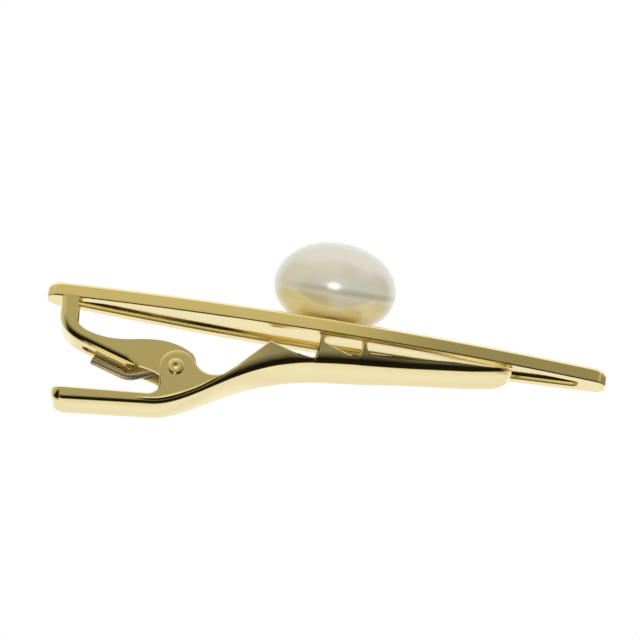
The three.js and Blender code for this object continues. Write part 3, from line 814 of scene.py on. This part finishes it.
def jaw_rows():
    """Rings of a trough, from the spine of its outer face up over the fold and wall to the rim and down
    inside. In plan it is a long strip with rounded ends; below it the web follows its side line, each fold is
    a quarter ellipse between wall and web, and the rim follows the cut edge with its teeth, every rim point
    tied to a foot."""
    px, pz = pivot
    off_pivot = lambda x, z: (px + x, pz + z)
    stop = px - 1.9
    web = edge_from(
        (tab_end - 1, tab_face(tab_end - 1)),
        ([(stop, tab_face(stop))], 60),
        ([off_pivot(-0.1, -3.88), off_pivot(1.5, -2.87), off_pivot(4.3, -1.08)], 80),
        ([off_pivot(6.6, 0.4), off_pivot(8.9, 1.55), off_pivot(11.86, 2.18)], 80),
        ([off_pivot(14.1, 2.63), off_pivot(16.5, 2.8), off_pivot(18.9, 3.08)], 60),
        ([off_pivot(28.1, 4.17)], 40),
        ([(nose_end - 2.4, -1.17), (nose_end - 1.0, -1.0), (nose_end, -0.8)], 50),
        ([(nose_end + 1, -0.55)], 4),
    )
    web_z = lambda x: np.interp(x, web[:, 0], web[:, 1])
    slope = np.gradient(web[:, 1], web[:, 0])
    steep = lambda x: np.hypot(1, np.interp(x, web[:, 0], slope))

    top_of_tab = lambda x: tab_face(x) + tab_wall - tab_wall_fall * (x - tab_end)
    side_start, side_end = tab_end + tab_corner, nose_end - nose_length
    rim, foot = [np.array([[side_start, top_of_tab(side_start)]])], [np.array([side_start])]

    def edge(points, foot_end):
        rim.append(points)
        foot.append(np.linspace(foot[-1][-1], foot_end, len(points) + 1)[1:])

    def curve(*controls, count, foot_end):
        edge(bezier(rim[-1][-1], *controls, count=count, first=False), foot_end)

    tab_stop = px - 2.35
    curve((tab_stop, top_of_tab(tab_stop)), count=24, foot_end=tab_stop - 0.2)
    curve(
        (tab_stop + 0.85, top_of_tab(tab_stop) + 0.08), off_pivot(-1.15, -2.3), off_pivot(-1.3, -1.6),
        count=14, foot_end=px - 1.25,
    )
    curve(off_pivot(-1.58, -0.3), count=6, foot_end=px - 0.7)
    edge(round_part(np.array([px + 0.15, pz]), 1.75, 180, 45, 24), px + 1.6)
    curve(off_pivot(2.1, 0.37), count=5, foot_end=px + 2.1)
    curve(off_pivot(2.6, -0.05), off_pivot(3.1, -0.25), off_pivot(3.83, -0.2), count=10, foot_end=px + 3.83)
    curve(off_pivot(4.6, -0.15), off_pivot(5.0, 0.3), off_pivot(5.4, 0.65), count=9, foot_end=px + 5.4)
    first, second, third = tooth_x
    curve((first - 0.12, tooth_tip[0] - 0.1), count=14, foot_end=first - 0.15)
    curve((first, tooth_tip[0]), (first + 0.15, tooth_tip[0] - 0.1), count=6, foot_end=first + 0.15)
    curve(
        (first + 1.35, tooth_tip[0] - 0.55), (second - 1.7, scoop_floor[0]), (second - 0.45, scoop_floor[0]),
        count=20, foot_end=second - 0.6,
    )
    curve(
        (second - 0.24, scoop_floor[0]), (second - 0.2, scoop_floor[0] + 0.15), count=5, foot_end=second - 0.35
    )
    curve((second - 0.1, tooth_tip[1]), count=8, foot_end=second - 0.1)
    curve((second + 0.15, tooth_tip[1]), count=4, foot_end=second + 0.1)
    curve((second + 0.35, tooth_tip[1] - 0.6), count=5, foot_end=second + 0.4)
    curve(
        (second + 1.5, tooth_tip[1] - 1.1), (third - 1.6, scoop_floor[1] - 0.05), (third - 0.4, scoop_floor[1]),
        count=18, foot_end=third - 0.5,
    )
    curve((third - 0.23, scoop_floor[1]), (third - 0.2, scoop_floor[1] + 0.15), count=5, foot_end=third - 0.3)
    curve((third - 0.1, tooth_tip[2]), count=7, foot_end=third - 0.1)
    curve((third + 0.15, tooth_tip[2]), count=4, foot_end=third + 0.12)
    curve((third + 0.45, -rim_drop), count=6, foot_end=third + 0.5)
    curve((third + 4.0, -rim_drop + 0.15), count=12, foot_end=third + 4.0)
    curve((third + 8.8, -rim_drop + 0.55), count=14, foot_end=third + 8.8)
    nose_x, nose_z = [third + 8.8, third + 12.7, nose_end], [-rim_drop + 0.55, -rim_drop + 0.68, -0.2]
    nose_top = lambda x: np.interp(x, nose_x, nose_z)
    curve((side_end, nose_top(side_end)), count=12, foot_end=side_end)
    rim, foot = np.concatenate(rim), np.concatenate(foot)

    corner = np.radians(np.linspace(0, 90, 12))[:-1]
    tab_half = jaw_half_at(tab_end)
    tab_y = np.linspace(0, -(tab_half - tab_corner), 6)[:-1]
    tab_plan = np.concatenate([
        np.stack([np.full(5, tab_end), tab_y], 1),
        np.stack([side_start - tab_corner * np.cos(corner), tab_corner * (1 - np.sin(corner)) - tab_half], 1),
    ])
    tab_in = np.concatenate([np.tile([1.0, 0.0], (5, 1)), np.stack([np.cos(corner), np.sin(corner)], 1)])
    sweep = np.radians(np.linspace(0, 90, 22))[1:]
    nose_half = jaw_half_at(side_end)
    nose_flat = 0.3 * nose_half
    nose_round = nose_half - nose_flat
    nose_plan = np.stack([side_end + nose_length * np.sin(sweep), -nose_flat - nose_round * np.cos(sweep)], 1)
    nose_in = -np.stack([np.sin(sweep) / nose_length, -np.cos(sweep) / nose_round], 1)
    nose_in /= np.linalg.norm(nose_in, axis=1, keepdims=True)
    nose_tip = [[nose_end, -share * nose_flat] for share in (0.6, 0.25, 0.0)]
    nose_plan = np.concatenate([nose_plan, nose_tip])
    nose_in = np.concatenate([nose_in, np.tile([-1.0, 0.0], (3, 1))])
    side_plan = np.stack([foot, -jaw_half_at(foot)], 1)
    lean = np.gradient(jaw_half_at(foot), foot)
    side_in = np.stack([lean, np.ones(len(foot))], 1) / np.hypot(1, lean)[:, None]
    plan = np.concatenate([tab_plan, side_plan, nose_plan])
    into = np.concatenate([tab_in, side_in, nose_in])
    rim_x = np.concatenate([tab_plan[:, 0], rim[:, 0], nose_plan[:, 0]])
    rim_y = np.concatenate([tab_plan[:, 1], -jaw_half_at(rim[:, 0]), nose_plan[:, 1]])
    rim_z = np.concatenate([top_of_tab(tab_plan[:, 0]), rim[:, 1], nose_top(nose_plan[:, 0])])
    run = np.gradient(np.stack([rim_x, rim_z], 1), axis=0)
    run[: len(tab_plan)] = run[-len(nose_plan):] = [1.0, 0.0]
    run /= np.maximum(np.linalg.norm(run, axis=1, keepdims=True), 1e-9)
    off = np.stack([-run[:, 1], run[:, 0]], 1)

    at_jaw = smooth(plan[:, 0], px + 2.5, px + 8)
    at_nose = smooth(plan[:, 0], nose_end - 4.0, nose_end - 0.5)
    fold_in = tight_fold + (jaw_fold_in - tight_fold) * at_jaw + 0.25 * at_nose
    fold_up = tight_fold + (jaw_fold_up - tight_fold) * at_jaw
    fold_in[: len(tab_plan)] = fold_up[: len(tab_plan)] = 0.9
    room_up = (rim_z - web_z(plan[:, 0])) / steep(plan[:, 0])
    fold_up = np.minimum(fold_up, room_up * 0.9)
    crease = bead * smooth(plan[:, 0], px - 3.4, px - 1.6) * (1 - smooth(plan[:, 0], px + 3.4, px + 5.0))
    spine_x = np.clip(plan[:, 0], tab_end + 1.6, nose_end - 2.2)

    def rim_ring(inset, down):
        x, z = rim_x - off[:, 0] * down, rim_z - off[:, 1] * down
        return np.stack([x + into[:, 0] * inset, rim_y + into[:, 1] * inset, z], 1)

    def fold_ring(angle, depth, sideways, upwards):
        inset = depth + sideways * (1 - np.cos(angle))
        x, y = plan[:, 0] + into[:, 0] * inset, plan[:, 1] + into[:, 1] * inset
        return np.stack([x, y, web_z(x) + (depth + upwards * (1 - np.sin(angle))) * steep(x)], 1)

    def web_rings(depth, sideways, shares):
        inset = depth + sideways
        edge_x, edge_y = plan[:, 0] + into[:, 0] * inset, plan[:, 1] + into[:, 1] * inset
        made = []
        for share in shares:
            x, y = edge_x + (spine_x - edge_x) * share, edge_y * (1 - share)
            bow = crown * (1 - (1 - share) ** 2)
            made.append(np.stack([x, y, web_z(x) + depth * steep(x) - bow], 1))
        return made

    outside = web_rings(0.0, fold_in, (1.0, 0.8, 0.6, 0.4, 0.25, 0.12, 0.03))
    for angle in np.radians(np.linspace(90, 0, 15)):
        outside.append(fold_ring(angle, 0.0, fold_in, fold_up))
    foot_ring = outside[-1]
    rim_out = rim_ring(0.0, cut_ease)
    wall = rim_out - foot_ring
    bead_share = np.clip(bead / np.maximum(wall[:, 2], 0.2), 0, 0.4)[:, None]
    for share, out in ((0.5, 0.6), (1.0, 1.0), (1.5, 0.6), (2.0, 0.0)):
        ridge = foot_ring + wall * np.minimum(bead_share * share, 0.5)
        ridge[:, :2] -= into * crease[:, None] * out
        outside.append(ridge)
    start = outside[-1]
    outside += [start + (rim_out - start) * share for share in (0.03, 0.3, 0.6, 0.93, 1.0)]
    skew = cut_ease * (1 - np.sqrt(0.5))
    top_rings = [
        rim_ring(skew, skew), rim_ring(cut_ease, 0.0),
        rim_ring(sheet - cut_ease, 0.0), rim_ring(sheet - skew, skew),
    ]
    inner_in, inner_up = np.maximum(fold_in - sheet, 0.1), np.maximum(fold_up - sheet, 0.1)
    inside = [fold_ring(angle, sheet, inner_in, inner_up) for angle in np.radians(np.linspace(0, 90, 8))]
    rim_in = rim_ring(sheet, cut_ease)
    down = [rim_in + (inside[0] - rim_in) * share for share in (0.0, 0.3, 0.65)]
    half = np.stack(outside + top_rings + down + inside + web_rings(sheet, inner_in, (0.06, 0.3, 0.65, 1.0)))
    return np.concatenate([half, half[:, -2:0:-1] * [1, -1, 1]], 1)


jaw = skin("toothed_jaw", jaw_rows(), stamped_gold)
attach(jaw, "jaw")
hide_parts("jaw_lever")

# The rivet. A soft brass pin holds bracket and jaw together; each end is spun over into a low
# dome with the small dimple of the spinning tool left in its middle.
pin_low, pin_high = (np.array(corner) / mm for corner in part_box("pivot_pin"))
head_radius = (pin_high[0] - pin_low[0]) / 2
shaft_radius = 0.6
head_height = 0.36
head_edge = 0.11
face_dome = 0.05
dimple_radius, dimple_depth = 0.42, 0.10


def rivet_rows():
    """A profile of (radius, reach) along the pin, carried round the pivot's axis: a shaft between two heads,
    each with a rounded brow, a face that falls by the square of the radius, and a shallow cosine dimple in
    its middle."""
    reach = pin_high[1]
    shoulder = reach - head_height
    angle = np.radians(np.linspace(0, 75, 7))
    brow = head_radius - head_edge * (1 - np.cos(angle))
    face = np.linspace(brow[-1], 0.0, 16)[1:]
    fall = (face / head_radius) ** 2
    dimple = np.where(face < dimple_radius, 0.5 + 0.5 * np.cos(np.pi * face / dimple_radius), 0.0)
    head = np.concatenate([
        [(shaft_radius, shoulder - 0.02), (shaft_radius + 0.03, shoulder), (head_radius - 0.03, shoulder)],
        np.stack([brow, reach - face_dome - head_edge * (1 - np.sin(angle))], 1),
        np.stack([face, reach - face_dome * fall - dimple_depth * dimple], 1),
    ])
    profile = np.concatenate([head[::-1] * [1, -1], [(shaft_radius, 0.0)], head])
    rows = turned(profile, 56)
    return np.stack([pivot[0] + rows[..., 0], rows[..., 2], pivot[1] + rows[..., 1]], -1)


rivet = skin("spun_rivet", rivet_rows(), polished_gold)
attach(rivet, "bar")
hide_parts("pivot_pin")
lit.objects.link(rivet)

# The spring. Hard-drawn steel wire wound three and a half turns round the rivet, one leg lying
# under the bracket's arm and one on the tab's floor, so that it pushes the tab down.
wire = 0.75
coil_radius = 1.15
coil_gap = 0.015
whole_turns = 3
arm_leg = 3.5
tab_leg_bend = 1.4
tab_leg = 3.6
steel_dark = (0.50, 0.46, 0.42, 1.0)
steel_light = (0.74, 0.70, 0.69, 1.0)


def spring_line():
    """The wire's middle line: a leg from its tip through a rounded bend to the coil, the coil as a helix
    about the pivot, and the other leg back out to its tip. A leg meets the coil as a tangent."""
    lift_arm = (wire / 2 + seam) * np.hypot(1, arm_slope)
    lift_tab = (sheet + wire / 2 + seam) * np.hypot(1, tab_slope)
    arm_tip = np.array([arm_end - arm_leg, arm_face(arm_end - arm_leg) - lift_arm])
    arm_bend = np.array([arm_end + 0.4 * wire, arm_face(arm_end + 0.4 * wire) - lift_arm])
    tab_bend = np.array([pivot[0] - tab_leg_bend, tab_face(pivot[0] - tab_leg_bend) + lift_tab])
    tab_tip = np.array([tab_bend[0] - tab_leg, tab_face(tab_bend[0] - tab_leg) + lift_tab])

    def touch(point, side):
        away = point - pivot
        return np.arctan2(away[1], away[0]) - side * np.arccos(coil_radius / np.linalg.norm(away))

    arm_angle = touch(arm_bend, 1) + 2 * np.pi * (arm_bend[1] < pivot[1])
    tab_angle = touch(tab_bend, -1)
    winding = arm_angle - tab_angle + 2 * np.pi * whole_turns
    travel = winding / (2 * np.pi) * (wire + coil_gap)

    def leg(tip_point, bend, angle, y):
        meets = pivot + coil_radius * np.array([np.cos(angle), np.sin(angle)])
        unit = lambda v: v / np.linalg.norm(v)
        before, after = bend + unit(tip_point - bend) * wire, bend + unit(meets - bend) * wire
        ends = np.array([0.0, 0.06, 0.12])[:, None] * unit(before - tip_point) + tip_point
        points = np.concatenate([
            ends,
            bezier(ends[-1], before, count=14, first=False),
            bezier(before, bend, after, count=12, first=False),
            bezier(after, meets, count=10, first=False),
        ])
        return np.stack([points[:, 0], np.full(len(points), y), points[:, 1]], 1)

    share = np.linspace(0, 1, 200)[1:-1]
    turn_at = tab_angle + share * winding
    coil_x, coil_z = pivot[0] + coil_radius * np.cos(turn_at), pivot[1] + coil_radius * np.sin(turn_at)
    coil = np.stack([coil_x, (share - 0.5) * travel, coil_z], 1)
    tab_side = leg(tab_tip, tab_bend, tab_angle, -travel / 2)
    arm_side = leg(arm_tip, arm_bend, arm_angle, travel / 2)
    return np.concatenate([tab_side, coil, arm_side[::-1]])


def wire_rows(line, radius):
    """Circles across a line: each stands on two unit vectors square to the line, the first kept near the
    pivot's axis. The two ends are cut flat, with a small chamfer."""
    heading = np.gradient(line, axis=0)
    heading /= np.linalg.norm(heading, axis=1, keepdims=True)
    axis = np.array([0.0, 1.0, 0.0])
    one = axis - heading * (heading @ axis)[:, None]
    one /= np.linalg.norm(one, axis=1, keepdims=True)
    two = np.cross(heading, one)
    angle = np.arange(24) * 2 * np.pi / 24
    size = np.full(len(line), radius)
    size[[0, -1]] = radius * 0.86
    ring = one[:, None] * np.cos(angle)[:, None] + two[:, None] * np.sin(angle)[:, None]
    rows = line[:, None] + ring * size[:, None, None]
    cap = lambda point, circle: [np.broadcast_to(point, circle.shape), point + (circle - point) * 0.9]
    return np.stack(cap(line[0], rows[0]) + list(rows) + cap(line[-1], rows[-1])[::-1])


drawn_steel = bpy.data.materials.new("drawn_steel")
drawn_steel.use_nodes = True
drawn_steel.node_tree.nodes.clear()
steel = Tone(drawn_steel.node_tree)
steel_uv = steel.node("ShaderNodeUVMap", {"uv_map": "laid"})
steel_place = steel.node("ShaderNodeTexCoord", output="Object")
drawn_out = steel.node("ShaderNodeMapping", (), {"Vector": steel_uv, "Scale": (26.0, 5.0, 1.0)})
die = steel.node("ShaderNodeTexNoise", (), {"Vector": drawn_out, "Scale": 1.0, "Detail": 3.0}, "Fac")
stain = steel.node("ShaderNodeTexNoise", (), {"Vector": steel_place, "Scale": 700.0, "Detail": 4.0}, "Fac")
steel_tint = steel.node(
    "ShaderNodeMix", of_colours, {0: stain * 0.6 + die * 0.4, 6: steel_dark, 7: steel_light}, 2
)
steel_bump = steel.node("ShaderNodeBump", (), {"Height": die, "Strength": 0.3, "Distance": 0.00002})
steel_rough = 0.17 + 0.12 * die + 0.08 * stain
steel_coat = steel.node(
    "ShaderNodeBsdfPrincipled",
    (),
    {"Base Color": steel_tint, "Metallic": 1.0, "Roughness": steel_rough, "Normal": steel_bump},
)
steel.node("ShaderNodeOutputMaterial", (), {"Surface": steel_coat})
spring = skin("coil_spring", wire_rows(spring_line(), wire / 2), drawn_steel)
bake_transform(spring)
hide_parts("torsion_spring")
